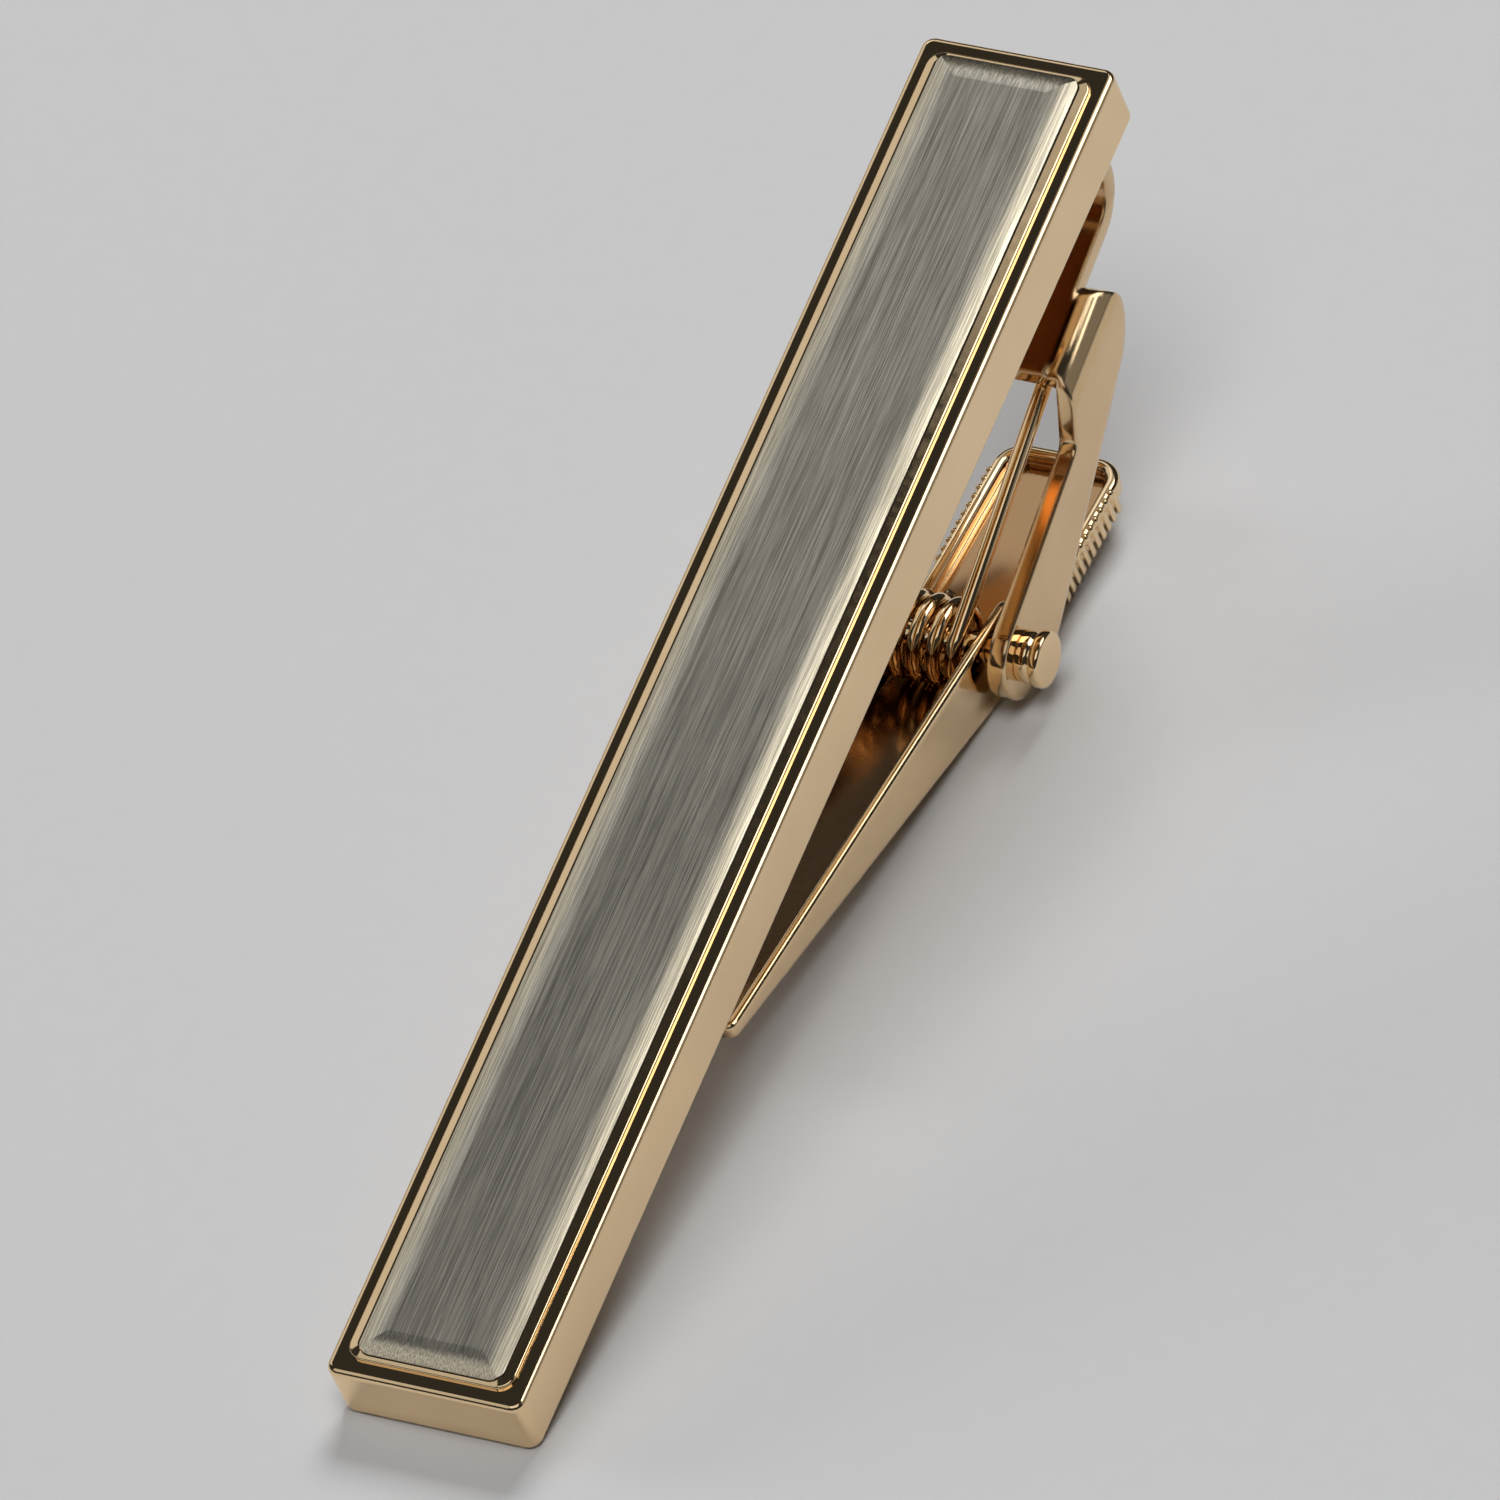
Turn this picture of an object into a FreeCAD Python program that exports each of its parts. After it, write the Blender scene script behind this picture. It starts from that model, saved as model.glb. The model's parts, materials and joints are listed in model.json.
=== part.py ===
import FreeCAD, Part
import math
import os

import Sketcher
from FreeCAD import Placement, Rotation, Vector

# A tie clip: a plated bar with a brushed inlay, and a sprung lever on a bracket soldered to the bar's back.
# Every piece is drawn in the bar's own axes, X along the bar from its free end, Y across it and Z
# up from its flat back, and is then placed as the clip lies on a table, on the bar's free end and
# the lever's knee.

SIZES = {
    # Front bar and inlay
    "bar_length": 58.0,
    "bar_width": 7.73,
    "bar_height": 2.72,
    "bar_corner": 0.5,
    "bar_edge": 0.25,
    "back_edge": 0.28,
    "ledge_side": 0.61,
    "ledge_end": 0.67,
    "plinth_height": 0.25,
    "plinth_corner": 0.65,
    "plinth_bevel": 0.34,
    "plinth_fall": 0.11,
    "plinth_edge": 0.1,
    "margin_side": 0.42,
    "margin_end": 0.19,
    "inlay_corner": 0.5,
    "inlay_rise": 0.29,
    "roll_radius": 1.9,
    "roll_angle": 31,
    "recess_depth": 0.35,
    "seat_clearance": 0.03,
    # Hinge bracket
    "bracket_sheet": 0.7,
    "bracket_width": 7.5,
    "bend_radius": 1.2,
    "end_setback": 0.9,
    "hairpin_radius": 2.0,
    "foot_length": 9.2,
    "web_depth": 3.5,
    "web_drop": 0.8,
    "web_run": 8.1,
    "ear_run": 4.7,
    "root_lean": 0.8,
    "heel_drop": 2.95,
    "heel_radius": 2.6,
    "shoulder_back": 1.3,
    "shoulder_drop": 2.56,
    "shoulder_radius": 0.7,
    "knuckle_run": 2.1,
    "knuckle_drop": 1.8,
    "knuckle_radius": 1.4,
    "ear_end_radius": 1.65,
    # Pivot pin
    "pin_setback": 17.5,
    "pin_depth": 9.7,
    "pin_radius": 0.5,
    "head_radius": 1.07,
    "head_height": 1.0,
    "head_edge": 0.18,
    "seat_fit": 0.01,
    "running_fit": 0.04,
    # Clip lever
    "lever_sheet": 0.45,
    "lever_play": 0.3,
    "lever_width": 4.8,
    "lever_bend": 0.45,
    "cut_edge": 0.2,
    "jaw_reach": 21.2,
    "jaw_gap": 0.08,
    "lip_height": 3.4,
    "lip_bend": 0.5,
    "jaw_wall": 0.9,
    "wall_rise": 1.25,
    "wall_back": 1.9,
    "wall_corner": 0.8,
    "knee_offset": 0.7,
    "knee_drop": 2.2,
    "knee_radius": 1.5,
    "tail_width": 5.0,
    "tail_reach": 10.5,
    "tail_drop": 2.08,
    "tail_rim": 0.5,
    "tail_corner": 1.1,
    "bead_count": 11,
    "bead_pitch": 0.45,
    "bead_start": 4.5,
    "bead_width": 0.25,
    "bead_proud": 0.1,
    "tooth_count": 6,
    "tooth_depth": 0.4,
    "notch_share": 0.8,
    # Torsion spring
    "wire": 0.45,
    "coil_radius": 1.35,
    "coil_pitch": 0.93,
    "coil_turns": 3,
    "leg_under_web": 0.9,
    "leg_on_tail": 6.3,
    "leg_splay": 0.55,
    "leg_clearance": 0.05,
}

doc = FreeCAD.newDocument("tie_clip")
sheet = doc.addObject("Spreadsheet::Sheet", "dim")
for row, (alias, number) in enumerate(SIZES.items(), 1):
    sheet.set(f"A{row}", alias)
    sheet.set(f"B{row}", str(number))
    sheet.setAlias(f"B{row}", alias)
doc.recompute()

# Places worked out from the sizes, as expressions
PIN_X = "(dim.bar_length - dim.pin_setback)"
HAIRPIN_X = "(dim.bar_length - dim.end_setback)"
WEB_END = f"({HAIRPIN_X} - dim.web_run)"
EAR_ROOT = f"({WEB_END} + dim.ear_run)"
WEB_SLOPE = "(dim.web_drop / dim.web_run)"
WEB_CUT = f"(dim.bracket_sheet * sqrt(1 + {WEB_SLOPE} ^ 2))"
JAW_X = f"({PIN_X} - dim.jaw_reach)"
JAW_FLOOR = "(dim.jaw_gap + dim.lip_height)"
KNEE_X = f"({PIN_X} - dim.knee_offset)"
KNEE_DEPTH = "(dim.pin_depth + dim.knee_drop)"
JAW_SLOPE = f"(({KNEE_DEPTH} - {JAW_FLOOR}) / (dim.jaw_reach - dim.knee_offset))"
JAW_CUT = f"(dim.lever_sheet * sqrt(1 + {JAW_SLOPE} ^ 2))"
TAIL_SLOPE = "(dim.tail_drop / (dim.tail_reach + dim.knee_offset))"
TAIL_CUT = f"(dim.lever_sheet * sqrt(1 + {TAIL_SLOPE} ^ 2))"
WALL_TOP = f"({JAW_FLOOR} - dim.jaw_wall)"
WALL_SLOPE = f"((dim.pin_depth - dim.wall_rise - {WALL_TOP}) / dim.jaw_reach)"
WALL_X = f"({PIN_X} + dim.wall_back)"
TAIL_X = f"({PIN_X} + dim.tail_reach)"
INLAY_LENGTH = "(dim.bar_length - 2 * dim.ledge_end - 2 * dim.margin_end)"
INLAY_WIDTH = "(dim.bar_width - 2 * dim.ledge_side - 2 * dim.margin_side)"
NEAR = 1e-4


def number_of(expression):
    """The value of an expression, in millimetres where it is a length."""
    found = sheet.evalExpression(expression)
    return float(getattr(found, "Value", found))


def web_top(x):
    """Depth of the web's upper face at x, as an expression."""
    return f"(dim.web_depth + {WEB_SLOPE} * ({HAIRPIN_X} - {x}))"


def tail_bottom(x):
    """Depth of the tail's outer face at x, as an expression."""
    return f"({KNEE_DEPTH} + {TAIL_SLOPE} * ({x} - {KNEE_X}))"


def new_body(label):
    body = doc.addObject("PartDesign::Body", label)
    body.Label = label
    return body


def new_sketch(body, name, role, **offset):
    """A sketch on one of the body's own planes, moved by the expressions given for x, y or z."""
    sketch = body.newObject("Sketcher::SketchObject", f"{body.Label}_{name}")
    plane = next(o for o in body.Origin.OriginFeatures if o.Role == role)
    sketch.AttachmentSupport = [(plane, "")]
    sketch.MapMode = "FlatFace"
    for axis, expression in offset.items():
        sketch.setExpression(f"AttachmentOffset.Base.{axis}", expression)
    return sketch


def bind(sketch, constraint, expression):
    index = sketch.addConstraint(constraint)
    sketch.setExpression(f"Constraints[{index}]", expression)


def hold_point(sketch, line, end, x, y):
    """Ties one point of a sketch to its place from the sketch's origin."""
    bind(sketch, Sketcher.Constraint("DistanceX", -1, 1, line, end, number_of(x)), x)
    bind(sketch, Sketcher.Constraint("DistanceY", -1, 1, line, end, number_of(y)), y)


def polygon(sketch, corners):
    points = [Vector(number_of(x), number_of(y), 0) for x, y in corners]
    following = points[1:] + points[:1]
    lines = [sketch.addGeometry(Part.LineSegment(a, b), False) for a, b in zip(points, following)]
    for line, after, corner in zip(lines, lines[1:] + lines[:1], corners):
        sketch.addConstraint(Sketcher.Constraint("Coincident", line, 2, after, 1))
        hold_point(sketch, line, 1, *corner)


def rectangle(sketch, low, high):
    polygon(sketch, [(low[0], low[1]), (high[0], low[1]), (high[0], high[1]), (low[0], high[1])])


def rounded_rectangle(sketch, low, high, radius):
    """A rectangle with an arc at each corner."""
    (left, bottom), (right, top) = low, high
    inner_left, inner_right = f"({left} + {radius})", f"({right} - {radius})"
    inner_bottom, inner_top = f"({bottom} + {radius})", f"({top} - {radius})"
    runs = [
        ((inner_left, bottom), (inner_right, bottom)),
        ((right, inner_bottom), (right, inner_top)),
        ((inner_right, top), (inner_left, top)),
        ((left, inner_top), (left, inner_bottom)),
    ]
    lines = []
    for start, end in runs:
        points = [Vector(number_of(x), number_of(y), 0) for x, y in (start, end)]
        line = sketch.addGeometry(Part.LineSegment(*points), False)
        hold_point(sketch, line, 1, *start)
        hold_point(sketch, line, 2, *end)
        lines.append(line)
    centres = [
        (inner_right, inner_bottom),
        (inner_right, inner_top),
        (inner_left, inner_top),
        (inner_left, inner_bottom),
    ]
    size = number_of(radius)
    for quarter, (x, y) in enumerate(centres):
        full = Part.Circle(Vector(number_of(x), number_of(y), 0), Vector(0, 0, 1), size)
        first, last = (quarter - 1) * math.pi / 2, quarter * math.pi / 2
        arc = sketch.addGeometry(Part.ArcOfCircle(full, first, last), False)
        sketch.addConstraint(Sketcher.Constraint("Coincident", lines[quarter], 2, arc, 1))
        sketch.addConstraint(Sketcher.Constraint("Coincident", arc, 2, lines[(quarter + 1) % 4], 1))
        bind(sketch, Sketcher.Constraint("Radius", arc, size), radius)


def circle(sketch, x, y, radius):
    centre = Vector(number_of(x), number_of(y), 0)
    ring = sketch.addGeometry(Part.Circle(centre, Vector(0, 0, 1), number_of(radius)), False)
    hold_point(sketch, ring, 3, x, y)
    bind(sketch, Sketcher.Constraint("Radius", ring, number_of(radius)), radius)


def extrude(kind, sketch, length, side="Symmetric"):
    """Pads or pockets a sketch of its own body."""
    body = sketch.getParentGeoFeatureGroup()
    feature = body.newObject(f"PartDesign::{kind}", f"{sketch.Name}_{kind}")
    feature.Profile = sketch
    feature.SideType = side
    feature.setExpression("Length", length)
    doc.recompute()
    return feature


def round_edges(base, name, radius, wanted):
    """Fillets the edges of a feature that the test picks."""
    body = base.getParentGeoFeatureGroup()
    edges = [f"Edge{i}" for i, edge in enumerate(base.Shape.Edges, 1) if wanted(edge)]
    feature = body.newObject("PartDesign::Fillet", f"{body.Label}_{name}")
    feature.Base = (base, edges)
    feature.setExpression("Radius", radius)
    doc.recompute()
    return feature


def bevel_edges(base, name, across, down, wanted):
    """Chamfers the edges that the test picks, by one distance on the top and another on the side."""
    body = base.getParentGeoFeatureGroup()
    edges = [f"Edge{i}" for i, edge in enumerate(base.Shape.Edges, 1) if wanted(edge)]
    feature = body.newObject("PartDesign::Chamfer", f"{body.Label}_{name}")
    feature.Base = (base, edges)
    feature.ChamferType = "Two distances"
    feature.setExpression("Size", down)
    feature.setExpression("Size2", across)
    doc.recompute()
    return feature


def level_at(edge, height):
    """Whether all of an edge lies at one height."""
    return all_at(edge, lambda p: abs(p.z - height) < NEAR)


def straight_along(edge, axis):
    return edge.Curve.TypeId == "Part::GeomLine" and abs(edge.Curve.Direction.dot(axis)) > 1 - NEAR


def lengthwise(edge):
    """Whether an edge is straight and runs more along X than any other way."""
    return edge.Curve.TypeId == "Part::GeomLine" and abs(edge.Curve.Direction.x) > math.sqrt(0.5)


def all_at(edge, test):
    return all(test(vertex.Point) for vertex in edge.Vertexes)


def edge_across(x, z):
    """Test for the straight edge along Y that passes through x and z."""
    place = Vector(number_of(x), 0, number_of(z))

    def test(edge):
        point = edge.Vertexes[0].Point
        near = math.hypot(point.x - place.x, point.z - place.z) < 10 * NEAR
        return near and straight_along(edge, Vector(0, 1, 0))

    return test


def front_bar():
    body = new_body("front_bar")
    half = "dim.bar_width / 2"
    block = new_sketch(body, "block", "XY_Plane")
    rectangle(block, ("0", f"-{half}"), ("dim.bar_length", half))
    shape = extrude("Pad", block, "dim.bar_height", "One side")
    shape = round_edges(shape, "corners", "dim.bar_corner", lambda e: straight_along(e, Vector(0, 0, 1)))

    inset = f"({half} - dim.ledge_side)"
    plinth = new_sketch(body, "plinth", "XY_Plane", z="dim.bar_height")
    rectangle(plinth, ("dim.ledge_end", f"-{inset}"), ("dim.bar_length - dim.ledge_end", inset))
    shape = extrude("Pad", plinth, "dim.plinth_height", "One side")
    top = number_of("dim.bar_height")
    plinth_top = "dim.bar_height + dim.plinth_height"
    upper = number_of(plinth_top)

    def plinth_upright(edge):
        return straight_along(edge, Vector(0, 0, 1)) and all_at(edge, lambda p: p.z > top - NEAR)

    shape = round_edges(shape, "plinth_corners", "dim.plinth_corner", plinth_upright)

    bevel = ("plinth_bevel", "dim.plinth_bevel", "dim.plinth_fall")
    shape = bevel_edges(shape, *bevel, lambda e: level_at(e, upper))
    foot = number_of(f"{plinth_top} - dim.plinth_fall")
    shape = round_edges(shape, "plinth_edge", "dim.plinth_edge", lambda e: level_at(e, foot))

    side = number_of(inset)
    low, high = number_of("dim.ledge_end"), number_of("dim.bar_length - dim.ledge_end")

    def ledge_rim(edge):
        outside = lambda p: abs(p.y) > side + NEAR or not low - NEAR < p.x < high + NEAR
        return all_at(edge, lambda p: abs(p.z - top) < NEAR and outside(p))

    shape = round_edges(shape, "ledge_rim", "dim.bar_edge", ledge_rim)
    shape = round_edges(shape, "back_rim", "dim.back_edge", lambda e: level_at(e, 0))

    reach, depth = f"({INLAY_LENGTH} / 2 + dim.seat_clearance)", f"({INLAY_WIDTH} / 2 + dim.seat_clearance)"
    recess = new_sketch(body, "recess", "XY_Plane", x="dim.bar_length / 2", z=plinth_top)
    rectangle(recess, (f"-{reach}", f"-{depth}"), (reach, depth))
    shape = extrude("Pocket", recess, "dim.recess_depth", "One side")
    edge_y = number_of(depth)

    def recess_upright(edge):
        upright = straight_along(edge, Vector(0, 0, 1))
        return upright and all_at(edge, lambda p: abs(abs(p.y) - edge_y) < NEAR)

    round_edges(shape, "recess_corners", "dim.inlay_corner + dim.seat_clearance", recess_upright)
    return body


def inlay_plate():
    """A plate with a rolled rim: a larger block, rounded over, then trimmed to fit the recess."""
    body = new_body("inlay_plate")
    reach, depth = f"{INLAY_LENGTH} / 2", f"{INLAY_WIDTH} / 2"
    spare = "dim.roll_radius * (1 - sin(dim.roll_angle * 1 deg))"
    wide, deep = f"({reach} + {spare})", f"({depth} + {spare})"
    floor = "dim.bar_height + dim.plinth_height - dim.recess_depth"
    middle = "dim.bar_length / 2"
    block = new_sketch(body, "block", "XY_Plane", x=middle, z=f"{floor} - dim.roll_radius")
    rectangle(block, (f"-{wide}", f"-{deep}"), (wide, deep))
    shape = extrude("Pad", block, "dim.roll_radius + dim.recess_depth + dim.inlay_rise", "One side")
    face = number_of("dim.bar_height + dim.plinth_height + dim.inlay_rise")
    round_edges(shape, "roll", "dim.roll_radius", lambda e: level_at(e, face))

    below = new_sketch(body, "below", "XY_Plane", x=middle, z=floor)
    rectangle(below, (f"-{wide}", f"-{deep}"), (wide, deep))
    extrude("Pocket", below, "2 * dim.roll_radius", "One side")
    trim = new_sketch(body, "trim", "XY_Plane", x=middle, z=floor)
    rectangle(trim, (f"-{wide}", f"-{deep}"), (wide, deep))
    rounded_rectangle(trim, (f"-{reach}", f"-{depth}"), (reach, depth), "dim.inlay_corner")
    extrude("Pocket", trim, "4 * dim.roll_radius")
    return body


def tangent_point(centre, radius, point, side):
    """Where the line from a point touches a circle, on the side that the sign gives."""
    away = point - centre
    angle = math.atan2(away.y, away.x) + side * math.acos(radius / away.Length)
    return centre + Vector(math.cos(angle), math.sin(angle), 0) * radius


def ear_outline(sketch):
    """Side view of the web and ears, with the ear's end round the pin."""
    root_z = f"-{web_top(EAR_ROOT)}"
    end_z = f"-{web_top(WEB_END)}"
    shoulder = (f"{WEB_END} - dim.shoulder_back", f"{end_z} - dim.shoulder_drop")
    knuckle = (f"{PIN_X} + dim.knuckle_run", "-dim.pin_depth - dim.knuckle_drop")
    heel = (f"{EAR_ROOT} - dim.root_lean", f"{root_z} - dim.heel_drop")
    corners = [shoulder, (WEB_END, end_z), (EAR_ROOT, root_z), heel, knuckle]
    points = [Vector(number_of(x), number_of(y), 0) for x, y in corners]
    centre = Vector(number_of(PIN_X), number_of("-dim.pin_depth"), 0)
    radius = number_of("dim.ear_end_radius")
    over = tangent_point(centre, radius, points[0], 1)
    under = tangent_point(centre, radius, points[-1], -1)
    chain = [over] + points + [under]
    lines = [sketch.addGeometry(Part.LineSegment(a, b), False) for a, b in zip(chain, chain[1:])]
    angles = [math.atan2(p.y - centre.y, p.x - centre.x) % (2 * math.pi) for p in (over, under)]
    arc = sketch.addGeometry(Part.ArcOfCircle(Part.Circle(centre, Vector(0, 0, 1), radius), *angles), False)
    for line, after, corner in zip(lines, lines[1:], corners):
        sketch.addConstraint(Sketcher.Constraint("Coincident", line, 2, after, 1))
        hold_point(sketch, after, 1, *corner)
    sketch.addConstraint(Sketcher.Constraint("Tangent", lines[0], 1, arc, 1))
    sketch.addConstraint(Sketcher.Constraint("Tangent", lines[-1], 2, arc, 2))
    hold_point(sketch, arc, 3, PIN_X, "-dim.pin_depth")
    bind(sketch, Sketcher.Constraint("Radius", arc, radius), "dim.ear_end_radius")
    return shoulder, heel, knuckle


def hinge_bracket():
    body = new_body("hinge_bracket")
    sides = new_sketch(body, "sides", "XZ_Plane")
    shoulder, heel, knuckle = ear_outline(sides)
    shape = extrude("Pad", sides, "dim.bracket_width")
    for name, corner in (("shoulder", shoulder), ("heel", heel), ("knuckle", knuckle)):
        shape = round_edges(shape, name, f"dim.{name}_radius", edge_across(*corner))

    outer = number_of("dim.bracket_width / 2")
    web_line = number_of(f"-{web_top(WEB_END)}") - NEAR

    def bend_outside(edge):
        return all_at(edge, lambda p: p.z > web_line and abs(abs(p.y) - outer) < NEAR)

    shape = round_edges(shape, "bend", "dim.bend_radius", bend_outside)

    hollow = new_sketch(body, "hollow", "XZ_Plane")
    past, below = f"{EAR_ROOT} + dim.bracket_sheet", f"-2 * {KNEE_DEPTH}"
    polygon(hollow, [
        (WEB_END, f"-{web_top(WEB_END)} - {WEB_CUT}"),
        (WEB_END, "0"),
        (JAW_X, "0"),
        (JAW_X, below),
        (past, below),
        (past, f"-{web_top('(' + past + ')')} - {WEB_CUT}"),
    ])
    shape = extrude("Pocket", hollow, "dim.bracket_width - 2 * dim.bracket_sheet")
    inner = number_of("dim.bracket_width / 2 - dim.bracket_sheet")
    under_line = number_of(f"-{web_top(WEB_END)} - {WEB_CUT}") - NEAR

    def bend_inside(edge):
        at_bend = lambda p: p.z > under_line and abs(abs(p.y) - inner) < NEAR
        return lengthwise(edge) and all_at(edge, at_bend)

    round_edges(shape, "bend_inside", "dim.bend_radius - dim.bracket_sheet", bend_inside)

    strip = new_sketch(body, "strip", "XZ_Plane")
    sheet_edge = f"({HAIRPIN_X} - dim.bracket_sheet)"
    foot_start = f"{HAIRPIN_X} - dim.foot_length"
    outside = [(HAIRPIN_X, "0"), (HAIRPIN_X, f"-dim.web_depth - {WEB_CUT}")]
    inside = [(sheet_edge, f"-{web_top(sheet_edge)}"), (sheet_edge, "-dim.bracket_sheet")]
    polygon(strip, [
        (foot_start, "0"),
        *outside,
        (WEB_END, f"-{web_top(WEB_END)} - {WEB_CUT}"),
        (WEB_END, f"-{web_top(WEB_END)}"),
        *inside,
        (foot_start, "-dim.bracket_sheet"),
    ])
    shape = extrude("Pad", strip, "dim.bracket_width - 2 * dim.bend_radius")
    for corner in outside:
        shape = round_edges(shape, "hairpin_outside", "dim.hairpin_radius", edge_across(*corner))
    for corner in inside:
        reach = "dim.hairpin_radius - dim.bracket_sheet"
        shape = round_edges(shape, "hairpin_inside", reach, edge_across(*corner))

    bore = new_sketch(body, "bore", "XZ_Plane")
    circle(bore, PIN_X, "-dim.pin_depth", "dim.pin_radius + dim.seat_fit")
    extrude("Pocket", bore, "2 * dim.bracket_width")
    return body


def pivot_pin():
    body = new_body("pivot_pin")
    section = new_sketch(body, "section", "XY_Plane", x=PIN_X, z="-dim.pin_depth")
    ear = "dim.bracket_width / 2"
    face = f"({ear} + dim.head_height)"
    polygon(section, [
        ("0", f"-{face}"),
        ("dim.head_radius", f"-{face}"),
        ("dim.head_radius", f"-{ear}"),
        ("dim.pin_radius", f"-{ear}"),
        ("dim.pin_radius", ear),
        ("dim.head_radius", ear),
        ("dim.head_radius", face),
        ("0", face),
    ])
    turned = body.newObject("PartDesign::Revolution", "pivot_pin_turned")
    turned.Profile = section
    turned.ReferenceAxis = (section, ["V_Axis"])
    turned.Angle = 360
    doc.recompute()
    end = number_of(face)
    round_edges(turned, "heads", "dim.head_edge", lambda e: all_at(e, lambda p: abs(p.y) > end - NEAR))
    return body


def lever_channel(body):
    """The jaw's two walls, its floor, its toothed lip and the bores for the pin."""
    sides = new_sketch(body, "sides", "XZ_Plane")
    knee = (KNEE_X, f"-{KNEE_DEPTH}")
    back_top = (WALL_X, f"-{WALL_TOP} - {WALL_SLOPE} * (dim.jaw_reach + dim.wall_back)")
    polygon(sides, [
        (JAW_X, f"-{JAW_FLOOR}"),
        (JAW_X, f"-{WALL_TOP}"),
        back_top,
        (WALL_X, f"-{tail_bottom(WALL_X)}"),
        knee,
    ])
    shape = extrude("Pad", sides, "dim.lever_width")
    shape = round_edges(shape, "knee", "dim.knee_radius", edge_across(*knee))
    shape = round_edges(shape, "wall_corner", "dim.wall_corner", edge_across(*back_top))
    shape = round_edges(shape, "lip_bend", "dim.lip_bend", edge_across(JAW_X, f"-{JAW_FLOOR}"))
    half = number_of("dim.lever_width / 2")
    floor = [(number_of(JAW_X), number_of(JAW_FLOOR)), (number_of(WALL_X), number_of(tail_bottom(WALL_X)))]
    (x_low, z_low), (x_high, z_high) = floor

    def bottom_side(edge):
        chord = lambda p: -z_low - (z_high - z_low) * (p.x - x_low) / (x_high - x_low)
        return all_at(edge, lambda p: abs(abs(p.y) - half) < NEAR and p.z < chord(p) + NEAR)

    shape = round_edges(shape, "bends", "dim.lever_bend", bottom_side)

    channel = new_sketch(body, "channel", "XZ_Plane")
    past = f"({WALL_X} + dim.lever_sheet)"
    inner_x = f"({JAW_X} + dim.lever_sheet)"
    polygon(channel, [
        (inner_x, f"-{JAW_FLOOR} - {JAW_SLOPE} * dim.lever_sheet + {JAW_CUT}"),
        (inner_x, "0"),
        (past, "0"),
        (past, f"-{tail_bottom(past)} + {TAIL_CUT}"),
        (KNEE_X, f"-{KNEE_DEPTH} + ({JAW_CUT} + {TAIL_CUT}) / 2"),
    ])
    shape = extrude("Pocket", channel, "dim.lever_width - 2 * dim.lever_sheet")
    slope, jaw_x, jaw_z = number_of(WALL_SLOPE), number_of(JAW_X), -number_of(WALL_TOP)

    def wall_rim(edge):
        return lengthwise(edge) and all_at(edge, lambda p: abs(p.z - jaw_z + slope * (p.x - jaw_x)) < NEAR)

    round_edges(shape, "wall_rims", "dim.cut_edge", wall_rim)

    lip = new_sketch(body, "lip", "XZ_Plane")
    rectangle(lip, (JAW_X, f"-{JAW_FLOOR} + dim.lip_bend"), (inner_x, "-dim.jaw_gap"))
    extrude("Pad", lip, "dim.lever_width - 2 * dim.lever_bend")

    teeth = new_sketch(body, "teeth", "YZ_Plane", z=f"{JAW_X} + dim.lever_sheet / 2")
    pitch = "((dim.lever_width - 2 * dim.lever_bend) / dim.tooth_count)"
    notch = f"{pitch} * dim.notch_share / 2"
    count = int(number_of("dim.tooth_count"))
    for i in range(1, count):
        middle = f"({i} - dim.tooth_count / 2) * {pitch}"
        polygon(teeth, [
            (f"{middle} - {notch}", "0"),
            (middle, "-dim.jaw_gap - dim.tooth_depth"),
            (f"{middle} + {notch}", "0"),
        ])
    extrude("Pocket", teeth, "2 * dim.lever_sheet")

    bore = new_sketch(body, "bore", "XZ_Plane")
    circle(bore, PIN_X, "-dim.pin_depth", "dim.pin_radius + dim.running_fit")
    extrude("Pocket", bore, "2 * dim.lever_width")


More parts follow.
